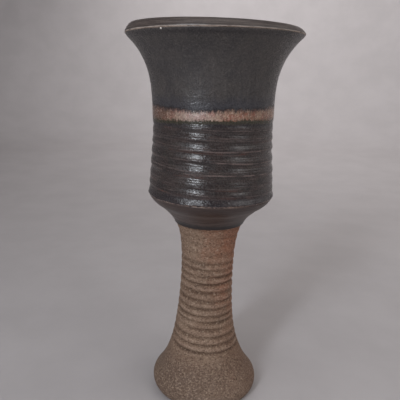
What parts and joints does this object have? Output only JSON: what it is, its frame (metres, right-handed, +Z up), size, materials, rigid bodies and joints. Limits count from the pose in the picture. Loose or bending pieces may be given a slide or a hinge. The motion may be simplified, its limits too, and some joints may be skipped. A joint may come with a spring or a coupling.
{
  "type": "communion chalice",
  "caption": "Hand-thrown stoneware chalice: a flared, ringed and glazed cup on a hollow ringed stem with a spreading foot, for holding and passing wine.",
  "frame": {"origin": "centre of the foot on the table", "axes": "+Z up along the axis of the wheel, through stem and cup; the piece is round, so +X and -Y are free, and -Y is taken as the front"},
  "size_m": [0.0896, 0.0896, 0.2008],
  "materials": {
    "cup_clay": "matt fired stoneware clay",
    "stem_clay": "matt bare stoneware, toasted brown with fine grog",
    "slip": "matt fired slip",
    "liner": "satin brown-grey glaze",
    "upper": "satin charcoal glaze with olive mottling",
    "band": "matt rust and tan glaze, speckled",
    "lower": "glossy black glaze breaking to rust on the throwing rings",
    "collar": "thin matt brown glaze with a blue-black lower edge"
  },
  "bodies": {
    "root": {"cup": "cup_clay", "stem": "stem_clay", "luting_slip": "slip", "liner_glaze": "liner", "upper_glaze": "upper", "band_glaze": "band", "lower_glaze": "lower", "collar_glaze": "collar"}
  },
  "joints": []
}
